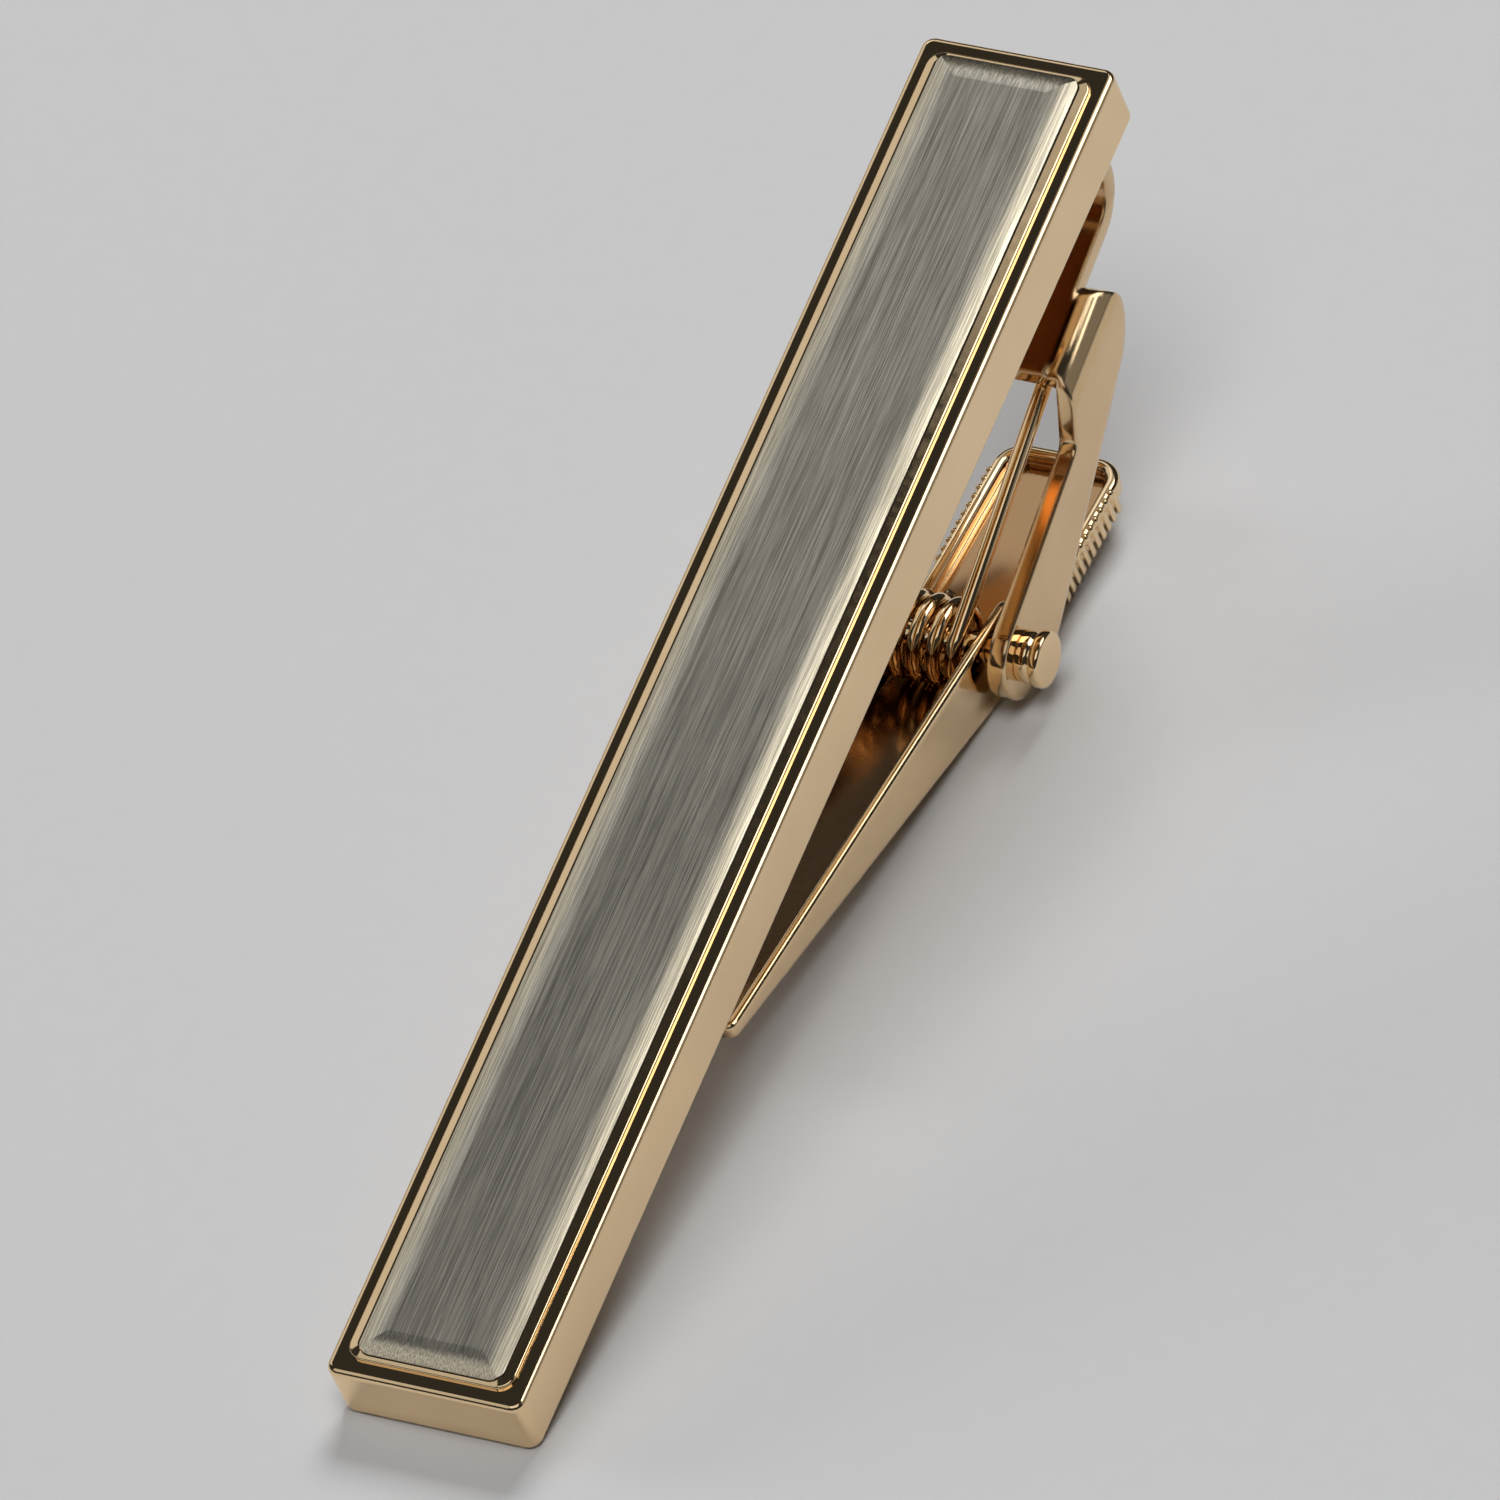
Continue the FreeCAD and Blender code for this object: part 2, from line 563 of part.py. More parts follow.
def lever_tail(body):
    """The thumb tail: a shallow tray with an upturned rim, and beads along its sides and under it."""
    rim = f"({TAIL_CUT} + dim.tail_rim)"
    plate = new_sketch(body, "plate", "XZ_Plane")
    polygon(plate, [
        (PIN_X, f"-{tail_bottom(PIN_X)}"),
        (TAIL_X, f"-{tail_bottom(TAIL_X)}"),
        (TAIL_X, f"-{tail_bottom(TAIL_X)} + {rim}"),
        (WALL_X, f"-{tail_bottom(WALL_X)} + {rim}"),
        (WALL_X, f"-{tail_bottom(WALL_X)} + {TAIL_CUT}"),
        (PIN_X, f"-{tail_bottom(PIN_X)} + {TAIL_CUT}"),
    ])
    shape = extrude("Pad", plate, "dim.tail_width")
    half, tail_x = number_of("dim.tail_width / 2"), number_of(TAIL_X)
    slope, low = number_of(TAIL_SLOPE), -number_of(tail_bottom(TAIL_X))

    def end_corner(edge):
        return straight_along(edge, Vector(0, 0, 1)) and all_at(edge, lambda p: abs(p.x - tail_x) < NEAR)

    shape = round_edges(shape, "tail_corners", "dim.tail_corner", end_corner)
    turn_x = tail_x - number_of("dim.tail_corner")

    def bottom_rim(edge):
        outside = lambda p: abs(abs(p.y) - half) < NEAR or p.x > turn_x - NEAR
        return all_at(edge, lambda p: abs(p.z - low + slope * (p.x - tail_x)) < NEAR and outside(p))

    round_edges(shape, "tail_bend", "dim.lever_bend", bottom_rim)

    beads = new_sketch(body, "beads", "XZ_Plane")
    for i in range(int(number_of("dim.bead_count"))):
        x = f"({PIN_X} + dim.bead_start + {i} * dim.bead_pitch)"
        first, last = f"{x} - dim.bead_width / 2", f"{x} + dim.bead_width / 2"
        bottom = f"-{tail_bottom(x)} - dim.bead_proud"
        top = f"-{tail_bottom(x)} + {rim} - dim.bead_proud"
        rectangle(beads, (first, bottom), (last, top))
    extrude("Pad", beads, "dim.tail_width + 2 * dim.bead_proud")

    tray = new_sketch(body, "tray", "XZ_Plane")
    inner_x = f"({TAIL_X} - dim.lever_sheet)"
    polygon(tray, [
        (WALL_X, f"-{tail_bottom(WALL_X)} + {TAIL_CUT}"),
        (inner_x, f"-{tail_bottom(inner_x)} + {TAIL_CUT}"),
        (inner_x, f"-{tail_bottom(inner_x)} + 2 * {rim}"),
        (WALL_X, f"-{tail_bottom(WALL_X)} + 2 * {rim}"),
    ])
    shape = extrude("Pocket", tray, "dim.tail_width - 2 * dim.lever_sheet")
    inside = number_of(inner_x)

    def tray_corner(edge):
        return straight_along(edge, Vector(0, 0, 1)) and all_at(edge, lambda p: abs(p.x - inside) < NEAR)

    round_edges(shape, "tray_corners", "dim.tail_corner - dim.lever_sheet", tray_corner)


def clip_lever():
    body = new_body("clip_lever")
    lever_channel(body)
    lever_tail(body)
    return body


def arc_between(start, apex, end):
    """The circular arc that leaves start and reaches end along the lines to their common apex."""
    weight = (end - start).Length / 2 / (apex - start).Length
    middle = (start + apex * (2 * weight) + end) / (2 + 2 * weight)
    return Part.Arc(start, middle, end).toShape()


def biarc(start, start_way, end, end_way):
    """Two arcs from one point and heading to another, smooth where they meet."""
    span, ways = end - start, start_way + end_way
    a, b, c = 2 * start_way.dot(end_way) - 2, -2 * span.dot(ways), span.dot(span)
    reach = (-b - math.sqrt(b * b - 4 * a * c)) / (2 * a)
    first, last = start + start_way * reach, end - end_way * reach
    joint = (first + last) / 2
    return [arc_between(start, first, joint), arc_between(joint, last, end)]


def least_gap(path, wire):
    """Least clear distance from the wire to itself, on points along its middle line."""
    step = wire / 4
    points = path.discretize(Distance=step)
    nearby = round(2 * math.pi * wire / step)
    return min((p - q).Length for i, p in enumerate(points) for q in points[i + nearby:]) - wire


def torsion_spring():
    """One wire: a leg under the web, turns round the pin, and a leg on the tail."""
    wire, radius = number_of("dim.wire"), number_of("dim.coil_radius")
    slack = wire / 2 + number_of("dim.leg_clearance")
    centre = Vector(number_of(PIN_X), number_of("-dim.pin_depth"), 0)
    under_web = f"({WEB_END} + dim.leg_under_web)"
    web_z = number_of(f"-{web_top(under_web)} - {WEB_CUT}")
    web_end = Vector(number_of(under_web), web_z - slack * math.hypot(1, number_of(WEB_SLOPE)), 0)
    on_tail = f"({PIN_X} + dim.leg_on_tail)"
    tail_z = number_of(f"-{tail_bottom(on_tail)} + {TAIL_CUT}")
    tail_end = Vector(number_of(on_tail), tail_z + slack * math.hypot(1, number_of(TAIL_SLOPE)), 0)

    enter = tangent_point(centre, radius, web_end, 1)
    leave = tangent_point(centre, radius, tail_end, -1)
    angles = [math.atan2(p.y - centre.y, p.x - centre.x) % (2 * math.pi) for p in (enter, leave)]
    turn = angles[1] - angles[0] + 2 * math.pi * number_of("dim.coil_turns")
    rise = number_of("dim.coil_pitch") * turn / (2 * math.pi)

    def place(flat, y):
        return Vector(flat.x, y, flat.y)

    quarters = round(turn / (math.pi / 2))
    splay = number_of("dim.leg_splay")
    climbs = [splay / (enter - web_end).Length] + [rise / (radius * turn)] * (quarters - 1) + [0]
    knots = []
    for i, climb in enumerate(climbs):
        angle = angles[0] + turn * i / quarters
        out = Vector(math.cos(angle), math.sin(angle), 0)
        way = place(Vector(-out.y, out.x, 0), climb).normalize()
        knots.append((place(centre + out * radius, -rise / 2 + rise * i / quarters), way))
    free_end = place(web_end, -rise / 2 - splay)
    edges = [Part.LineSegment(free_end, knots[0][0]).toShape()]
    for (start, start_way), (end, end_way) in zip(knots, knots[1:]):
        edges += biarc(start, start_way, end, end_way)
    edges.append(Part.LineSegment(knots[-1][0], place(tail_end, rise / 2)).toShape())
    path = Part.Wire(edges)
    section = Part.Wire(Part.Circle(free_end, knots[0][0] - free_end, wire / 2).toShape())
    feature = doc.addObject("Part::Feature", "torsion_spring")
    feature.Label = "torsion_spring"
    feature.Shape = path.makePipeShell([section], True, False)
    expected = path.Length * math.pi * wire * wire / 4
    print(f"torsion_spring: least gap to itself {least_gap(path, wire):.3f} mm")
    print(f"torsion_spring: volume over section times length {feature.Shape.Volume / expected:.4f}")
    return feature


def resting_tilt():
    """Angle between the bar's back and the table, touching the bar's free end and the lever's knee."""
    knee = number_of("dim.knee_radius")
    edge = number_of("dim.back_edge")
    slopes = [math.atan(number_of(s)) for s in (JAW_SLOPE, TAIL_SLOPE)]
    up = [Vector(math.sin(a), 0, math.cos(a)) for a in slopes]
    corner = Vector(number_of(KNEE_X), 0, -number_of(KNEE_DEPTH))
    knee_centre = corner + (up[0] + up[1]) * (knee / (1 + up[0].dot(up[1])))
    span = knee_centre - Vector(edge, 0, edge)
    return math.degrees(math.atan2(-span.z, span.x) + math.asin((knee - edge) / span.Length))


def lay_down(pieces):
    """Places every piece as the clip rests: the table at Z 0 and the origin under the middle of its box.

    The lever is narrower than the gap between the ears, and sits with its spring a little to one side.
    """
    turn = Placement(Vector(), Rotation(Vector(0, 1, 0), -resting_tilt()))
    box = FreeCAD.BoundBox()
    for piece in pieces:
        turned = piece.Shape.copy()
        turned.Placement = turn
        box.add(turned.optimalBoundingBox())
    middle = Vector(-box.Center.x, -box.Center.y, -box.ZMin)
    aside = Vector(0, -number_of("dim.lever_play"), 0)
    for piece in pieces:
        place = middle + aside if piece.Label in ("clip_lever", "torsion_spring") else middle
        piece.Placement = Placement(place, turn.Rotation)
    doc.recompute()
    pin = pieces[0].Placement.multVec(Vector(number_of(PIN_X), 0, -number_of("dim.pin_depth")))
    print(f"resting tilt {resting_tilt():.4f} degrees, moved by {middle}, pin at {pin}")


pieces = [front_bar(), inlay_plate(), hinge_bracket(), clip_lever(), pivot_pin(), torsion_spring()]
doc.recompute()
lay_down(pieces)
for item in doc.Objects:
    if {"Invalid", "Error"} & set(item.State):
        raise RuntimeError(f"{item.Label} failed: {item.State}")
for piece in pieces:
    if piece.Shape.isNull() or not piece.Shape.isValid() or len(piece.Shape.Solids) != 1:
        raise RuntimeError(f"{piece.Label} is not one sound solid")
os.makedirs("parts", exist_ok=True)
for piece in pieces:
    piece.Shape.exportStep(f"parts/{piece.Label}.step")
    print(f"{piece.Label}: {piece.Shape.Volume:.2f} cubic mm")
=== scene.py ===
import json
import math

import bmesh
import bpy
from mathutils import Matrix, Quaternion, Vector


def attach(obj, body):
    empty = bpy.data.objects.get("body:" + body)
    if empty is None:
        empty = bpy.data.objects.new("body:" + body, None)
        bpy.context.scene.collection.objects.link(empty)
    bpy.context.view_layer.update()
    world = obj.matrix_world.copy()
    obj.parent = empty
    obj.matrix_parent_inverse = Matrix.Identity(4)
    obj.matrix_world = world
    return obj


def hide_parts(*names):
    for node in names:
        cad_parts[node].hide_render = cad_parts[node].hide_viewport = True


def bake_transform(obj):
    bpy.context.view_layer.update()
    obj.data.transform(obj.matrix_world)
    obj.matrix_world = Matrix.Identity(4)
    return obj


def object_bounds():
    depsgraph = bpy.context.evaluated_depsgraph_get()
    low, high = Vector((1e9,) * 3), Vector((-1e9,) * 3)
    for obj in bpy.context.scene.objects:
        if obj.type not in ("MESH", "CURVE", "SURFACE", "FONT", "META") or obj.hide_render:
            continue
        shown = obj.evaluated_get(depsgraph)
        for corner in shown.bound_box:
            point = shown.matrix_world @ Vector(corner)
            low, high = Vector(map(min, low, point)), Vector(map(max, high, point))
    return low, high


# A gold-plated tie clip with a brushed inlay, lying on a pale grey table. The clip's own sizes and
# places are in millimetres, in the bar's axes. The table, lights and textures are in metres.

MM = 0.001

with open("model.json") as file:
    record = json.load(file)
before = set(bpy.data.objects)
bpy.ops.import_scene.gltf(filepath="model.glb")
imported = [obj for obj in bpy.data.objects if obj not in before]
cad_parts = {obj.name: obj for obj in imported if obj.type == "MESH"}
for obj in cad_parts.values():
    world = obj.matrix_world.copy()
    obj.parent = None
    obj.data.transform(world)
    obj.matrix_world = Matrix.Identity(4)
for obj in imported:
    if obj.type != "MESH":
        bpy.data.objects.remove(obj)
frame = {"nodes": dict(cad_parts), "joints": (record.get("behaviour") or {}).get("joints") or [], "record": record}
cad_low, cad_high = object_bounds()
nodes = frame["nodes"]
joint = frame["joints"][0]
face = next(m for m in frame["record"]["mounts"] if m["name"] == "inlay_face")

# The bar's own axes in the row frame, with the pin as the known point

UP = Vector(face["axis"]).normalized()
ACROSS = Vector((0, 1, 0))
ALONG = ACROSS.cross(UP)
TILT = math.atan2(ALONG.z, ALONG.x)
PIN = Vector(joint["pos_m"])
PIN_X, PIN_Z = 40.5, -9.7
LEVER_Y = -0.3


def at(x, y, z):
    """A point of the bar's axes, from the middle of its free end's back, in the row frame."""
    return PIN + (ALONG * (x - PIN_X) + ACROSS * y + UP * (z - PIN_Z)) * MM


def add_object(name, data):
    made = bpy.data.objects.new(name, data)
    bpy.context.scene.collection.objects.link(made)
    return made


# Nodes that the materials share

NOISE_RANGE = (0.3, 0.7)
RISING, FALLING = (0, 1), (1, 0)


def new_material(name):
    material = bpy.data.materials.new(name)
    material.use_nodes = True
    tree = material.node_tree
    shader = next(n for n in tree.nodes if n.type == "BSDF_PRINCIPLED")
    return material, tree, shader


def node(tree, kind, **settings):
    made = tree.nodes.new(kind)
    for key, value in settings.items():
        if key in made.inputs:
            made.inputs[key].default_value = value
        else:
            setattr(made, key, value)
    return made


def placed(tree, scale, turn=0.0):
    """Coordinates of the object in metres, turned about Y and scaled along the turned axes."""
    source = node(tree, "ShaderNodeTexCoord")
    turned = node(
        tree, "ShaderNodeVectorRotate", rotation_type="AXIS_ANGLE", Axis=(0, 1, 0), Angle=turn
    )
    scaled = node(tree, "ShaderNodeVectorMath", operation="MULTIPLY")
    scaled.inputs[1].default_value = scale
    tree.links.new(source.outputs["Object"], turned.inputs["Vector"])
    tree.links.new(turned.outputs["Vector"], scaled.inputs[0])
    return scaled.outputs["Vector"]


def noise(tree, vector, detail, roughness=0.5):
    made = node(tree, "ShaderNodeTexNoise", Scale=1.0, Detail=detail, Roughness=roughness)
    tree.links.new(vector, made.inputs["Vector"])
    return made.outputs["Fac"]


def ramp(tree, value, source, target):
    """Maps one range of numbers onto another, and stops at its ends."""
    made = node(tree, "ShaderNodeMapRange")
    made.inputs["From Min"].default_value, made.inputs["From Max"].default_value = source
    made.inputs["To Min"].default_value, made.inputs["To Max"].default_value = target
    tree.links.new(value, made.inputs["Value"])
    return made.outputs["Result"]


def mixed(tree, factor, first, second, way="MIX"):
    """Mixes two colours, each of them a socket or three numbers."""
    made = node(tree, "ShaderNodeMix", data_type="RGBA", blend_type=way)
    sockets = [i for i in made.inputs if i.type == "RGBA"]
    for socket, colour in zip(sockets, (first, second)):
        if isinstance(colour, bpy.types.NodeSocket):
            tree.links.new(colour, socket)
        else:
            socket.default_value = (*colour, 1)
    tree.links.new(factor, made.inputs["Factor"])
    return next(o for o in made.outputs if o.type == "RGBA")


def bump(tree, height, distance, strength, below=None):
    made = node(tree, "ShaderNodeBump", Distance=distance, Strength=strength)
    tree.links.new(height, made.inputs["Height"])
    if below:
        tree.links.new(below, made.inputs["Normal"])
    return made.outputs["Normal"]


def chained(tree, operation, *values):
    """Chains one arithmetic operation over sockets and numbers."""
    total = values[0]
    for value in values[1:]:
        made = node(tree, "ShaderNodeMath", operation=operation)
        for socket, item in zip(made.inputs, (total, value)):
            if isinstance(item, (int, float)):
                socket.default_value = item
            else:
                tree.links.new(item, socket)
        total = made.outputs["Value"]
    return total


def bar_place(tree):
    """A point's X, Y and Z in the bar's axes, in millimetres."""
    parts = node(tree, "ShaderNodeSeparateXYZ")
    tree.links.new(placed(tree, (1 / MM, 1 / MM, 1 / MM), TILT), parts.inputs["Vector"])
    start = at(0, 0, 0) / MM
    x = chained(tree, "SUBTRACT", parts.outputs["X"], start.dot(ALONG))
    z = chained(tree, "SUBTRACT", parts.outputs["Z"], start.dot(UP))
    return x, parts.outputs["Y"], z


def facing_up(tree):
    """How far a surface faces out of the bar's front, from -1 to 1."""
    geometry = node(tree, "ShaderNodeNewGeometry")
    dot = node(tree, "ShaderNodeVectorMath", operation="DOT_PRODUCT")
    dot.inputs[1].default_value = UP
    tree.links.new(geometry.outputs["Normal"], dot.inputs[0])
    return dot.outputs["Value"]


def from_middle(tree, value, middle):
    made = node(tree, "ShaderNodeMath", operation="ABSOLUTE")
    tree.links.new(chained(tree, "SUBTRACT", value, middle), made.inputs[0])
    return made.outputs["Value"]


# Hollows, painted darker and redder as shade, and made duller. Each pair of limits is where a mask fades.

CHANNEL_HALF = (1.94, 1.98)
CHANNEL_FACING = (-0.3, -0.2)
WEB_SLOPE = 0.8 / 8.1
WEB_END_X, WEB_END_DEPTH = 57.1, 3.5
WEB_LEVEL = WEB_END_DEPTH + WEB_SLOPE * WEB_END_X
WEB_MARGIN = (-0.12, -0.04)
HAIRPIN_HALF = (2.3, 2.75)
HAIRPIN_END = (56.5, 56.9)


def channel_shade_mask(tree):
    """The inside of the lever's channel, where shade is painted."""
    _, y, _ = bar_place(tree)
    between = ramp(tree, from_middle(tree, y, LEVER_Y), CHANNEL_HALF, FALLING)
    return chained(tree, "MULTIPLY", between, ramp(tree, facing_up(tree), CHANNEL_FACING, RISING))


def hairpin_shade_mask(tree):
    """The faces of the bracket that look into the gap behind the bar, where shade is painted."""
    x, y, z = bar_place(tree)
    above_web = chained(tree, "ADD", z, chained(tree, "MULTIPLY", x, -WEB_SLOPE), WEB_LEVEL)
    over = ramp(tree, above_web, WEB_MARGIN, RISING)
    between = ramp(tree, from_middle(tree, y, 0), HAIRPIN_HALF, FALLING)
    return chained(tree, "MULTIPLY", over, between, ramp(tree, x, HAIRPIN_END, FALLING))


# Gold plate. Tones are a dark and a light colour, and roughness is a range.

CLOUD_SCALE, CLOUD_DETAIL = (260, 260, 260), 3
GRAIN_SCALE, GRAIN_DETAIL = (2400, 2400, 2400), 2
WAVE_SCALE, WAVE_DETAIL = (300, 300, 300), 0
WAVE_HEIGHT, WAVE_STRENGTH = 0.00001, 0.2
EDGE_SAMPLES = 8
# The colour painted into the hollows as shade, and the roughness added there.
RECESS_PAINTED_SHADE = (0.56, 0.35, 0.18)
RECESS_ROUGHNESS = 0.09
GOLD_TONES = (0.89, 0.652, 0.378), (0.94, 0.705, 0.423)
GOLD_ROUGHNESS = (0.04, 0.09)
# The bracket's tones are the bar's gold made darker and redder: painted shade.
BRACKET_SHADED_TONES = (0.74, 0.525, 0.295), (0.81, 0.585, 0.34)
SHEET_ROUGHNESS = (0.055, 0.065)
LEVER_EDGE, BRACKET_EDGE = 0.14, 0.26
WIRE_TONES = (0.88, 0.642, 0.373), (0.94, 0.70, 0.418)
WIRE_ROUGHNESS = (0.05, 0.11)


def polished_gold(name, tones, roughness, edge=None, dull_shaded_recess=None):
    """Mirror-polished plate, faintly clouded in tone and gloss.

    edge is the radius with which sharp edges are shaded, and the last argument makes the mask of the hollows,
    which get painted shade and more roughness.
    """
    material, tree, shader = new_material(name)
    cloud = noise(tree, placed(tree, CLOUD_SCALE), CLOUD_DETAIL)
    grain = noise(tree, placed(tree, GRAIN_SCALE), GRAIN_DETAIL)
    wave = noise(tree, placed(tree, WAVE_SCALE), WAVE_DETAIL)
    shader.inputs["Metallic"].default_value = 1.0
    tone = mixed(tree, ramp(tree, cloud, NOISE_RANGE, RISING), *tones)
    gloss = ramp(tree, grain, NOISE_RANGE, roughness)
    if dull_shaded_recess:
        mask = dull_shaded_recess(tree)
        # Painted shade: the hollows are darkened and reddened, and made rougher.
        tone = mixed(tree, mask, tone, RECESS_PAINTED_SHADE)
        gloss = chained(tree, "ADD", gloss, chained(tree, "MULTIPLY", mask, RECESS_ROUGHNESS))
    tree.links.new(tone, shader.inputs["Base Color"])
    tree.links.new(gloss, shader.inputs["Roughness"])
    worn = None
    if edge:
        rounded = node(tree, "ShaderNodeBevel", samples=EDGE_SAMPLES, Radius=edge * MM)
        worn = rounded.outputs["Normal"]
    tree.links.new(bump(tree, wave, WAVE_HEIGHT, WAVE_STRENGTH, worn), shader.inputs["Normal"])
    return material


# Brushed inlay

PLATE_TONES = (0.40, 0.376, 0.31), (0.98, 0.925, 0.79)
PLATE_ROUGHNESS = (0.30, 0.38)
PLATE_ANISOTROPY = 0.72
STROKE_SCALE, STROKE_DETAIL, STROKE_HARSHNESS = (280, 21000, 21000), 5, 0.65
STROKE_RANGE = (0.38, 0.62)
FINE_SCALE, FINE_DETAIL = (1200, 52000, 52000), 2
STROKE_HEIGHT, FINE_HEIGHT, BRUSH_STRENGTH = 0.000006, 0.000003, 0.5
PATCH_SCALE, PATCH_DETAIL = (70, 240, 240), 2
PATCH_ROUGHNESS = (-0.03, 0.03)
# The tint of a warm reflection painted on the plate's rims, and where it fades in.
RIM_PAINTED_REFLECTION = (1.0, 0.955, 0.86)
RIM_FACING = (0.995, 0.93)


def brushed_plate(name):
    """Brushed along the bar: short fine strokes in tone, gloss and height, and a painted warm reflection on the
    rims.
    """
    material, tree, shader = new_material(name)
    strokes = noise(tree, placed(tree, STROKE_SCALE, TILT), STROKE_DETAIL, STROKE_HARSHNESS)
    fine = noise(tree, placed(tree, FINE_SCALE, TILT), FINE_DETAIL)
    patch = noise(tree, placed(tree, PATCH_SCALE, TILT), PATCH_DETAIL)
    shader.inputs["Metallic"].default_value = 1.0
    shader.inputs["Anisotropic"].default_value = PLATE_ANISOTROPY
    tone = mixed(tree, ramp(tree, strokes, STROKE_RANGE, RISING), *PLATE_TONES)
    # Painted reflection: faces that turn away from the bar's front, the rims, are tinted warmer.
    rim = ramp(tree, facing_up(tree), RIM_FACING, RISING)
    tree.links.new(mixed(tree, rim, tone, RIM_PAINTED_REFLECTION, "MULTIPLY"), shader.inputs["Base Color"])
    gloss = chained(
        tree,
        "ADD",
        ramp(tree, fine, NOISE_RANGE, PLATE_ROUGHNESS),
        ramp(tree, patch, NOISE_RANGE, PATCH_ROUGHNESS),
    )
    tree.links.new(gloss, shader.inputs["Roughness"])
    height = bump(tree, strokes, STROKE_HEIGHT, BRUSH_STRENGTH)
    height = bump(tree, fine, FINE_HEIGHT, BRUSH_STRENGTH, height)
    tree.links.new(height, shader.inputs["Normal"])
    way = node(tree, "ShaderNodeCombineXYZ", X=ACROSS.x, Y=ACROSS.y, Z=ACROSS.z)
    tree.links.new(way.outputs["Vector"], shader.inputs["Tangent"])
    return material


gold = polished_gold("polished_gold_plate", GOLD_TONES, GOLD_ROUGHNESS)
lever_gold = polished_gold(
    "lever_gold_plate", GOLD_TONES, SHEET_ROUGHNESS, LEVER_EDGE, channel_shade_mask
)
bracket_shaded_gold = polished_gold(
    "bracket_gold_plate", BRACKET_SHADED_TONES, SHEET_ROUGHNESS, BRACKET_EDGE, hairpin_shade_mask
)
wire_gold = polished_gold("plated_wire", WIRE_TONES, WIRE_ROUGHNESS)
brushed = brushed_plate("brushed_inlay_metal")


def dress(obj, material):
    obj.data.materials.clear()
    obj.data.materials.append(material)


dress(nodes["front_bar"], gold)
dress(nodes["hinge_bracket"], bracket_shaded_gold)
dress(nodes["clip_lever"], lever_gold)
dress(nodes["pivot_pin"], gold)
dress(nodes["inlay_plate"], brushed)

# Polished-over edges of the bracket

WELD = 1e-6
FLAT_ANGLE = math.radians(0.6)
EDGE_ANGLE = math.radians(35)
BRACKET_BEVEL, BEVEL_SEGMENTS = 0.1, 3
NORMAL_WEIGHT = 80


def even_shading(obj):
    obj.modifiers.new("shading", "WEIGHTED_NORMAL").weight = NORMAL_WEIGHT


def soften(obj, width, segments):
    """Rounds a node's sharp edges by modifiers, and leaves its mesh as it is."""
    weld = obj.modifiers.new("weld", "WELD")
    weld.merge_threshold = WELD
    flats = obj.modifiers.new("flats", "DECIMATE")
    flats.decimate_type = "DISSOLVE"
    flats.angle_limit = FLAT_ANGLE
    edges = obj.modifiers.new("edges", "BEVEL")
    edges.width = width * MM
    edges.segments = segments
    edges.limit_method = "ANGLE"
    edges.angle_limit = EDGE_ANGLE
    edges.use_clamp_overlap = True
    even_shading(obj)


soften(nodes["hinge_bracket"], BRACKET_BEVEL, BEVEL_SEGMENTS)

# Pivot pin: a collar against each ear, a groove and a flat head with a rounded rim. Its profile is
# radius and place along the axis, from the ear outwards.

PIN_STEPS = 96
PIN_PROFILE = [
    (0.50, 3.60), (0.50, 3.752), (0.95, 3.752), (0.96, 3.80), (0.96, 4.10), (0.93, 4.18),
    (0.86, 4.23), (0.86, 4.29), (0.95, 4.30), (1.02, 4.33), (1.06, 4.39), (1.07, 4.46),
    (1.07, 4.60), (1.055, 4.67), (1.01, 4.72), (0.93, 4.745), (0.80, 4.75), (0.45, 4.75),
]


def lathe(name, profile, centre, axis, steps):
    """A turned solid, with its profile mirrored to the other end."""
    whole = [(radius, -along) for radius, along in reversed(profile)] + list(profile)
    side = axis.orthogonal().normalized()
    other = axis.cross(side)
    verts, faces = [], []
    for radius, along in whole:
        for i in range(steps):
            angle = 2 * math.pi * i / steps
            out = side * math.cos(angle) + other * math.sin(angle)
            verts.append(centre + (out * radius + axis * along) * MM)
    for ring in range(len(whole) - 1):
        for i in range(steps):
            j = (i + 1) % steps
            low, high = ring * steps, (ring + 1) * steps
            faces.append((low + i, low + j, high + j, high + i))
    last = (len(whole) - 1) * steps
    verts += [centre - axis * profile[-1][1] * MM, centre + axis * profile[-1][1] * MM]
    for i in range(steps):
        j = (i + 1) % steps
        faces.append((len(verts) - 2, j, i))
        faces.append((len(verts) - 1, last + i, last + j))
    mesh = bpy.data.meshes.new(name)
    mesh.from_pydata(verts, [], faces)
    mesh.shade_smooth()
    piece = add_object(name, mesh)
    even_shading(piece)
    return piece


pin = lathe("turned_pin", PIN_PROFILE, PIN, ACROSS, PIN_STEPS)
dress(pin, gold)
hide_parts("pivot_pin")
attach(pin, "bar")

# Round wire. Its ends narrow over a part of its radius, in two steps.

TIP_LENGTH = 0.5
TIP_STEP = 0.4
TIP_END, TIP_SHOULDER = 0.72, 0.94
WIRE_ROUNDNESS = 6


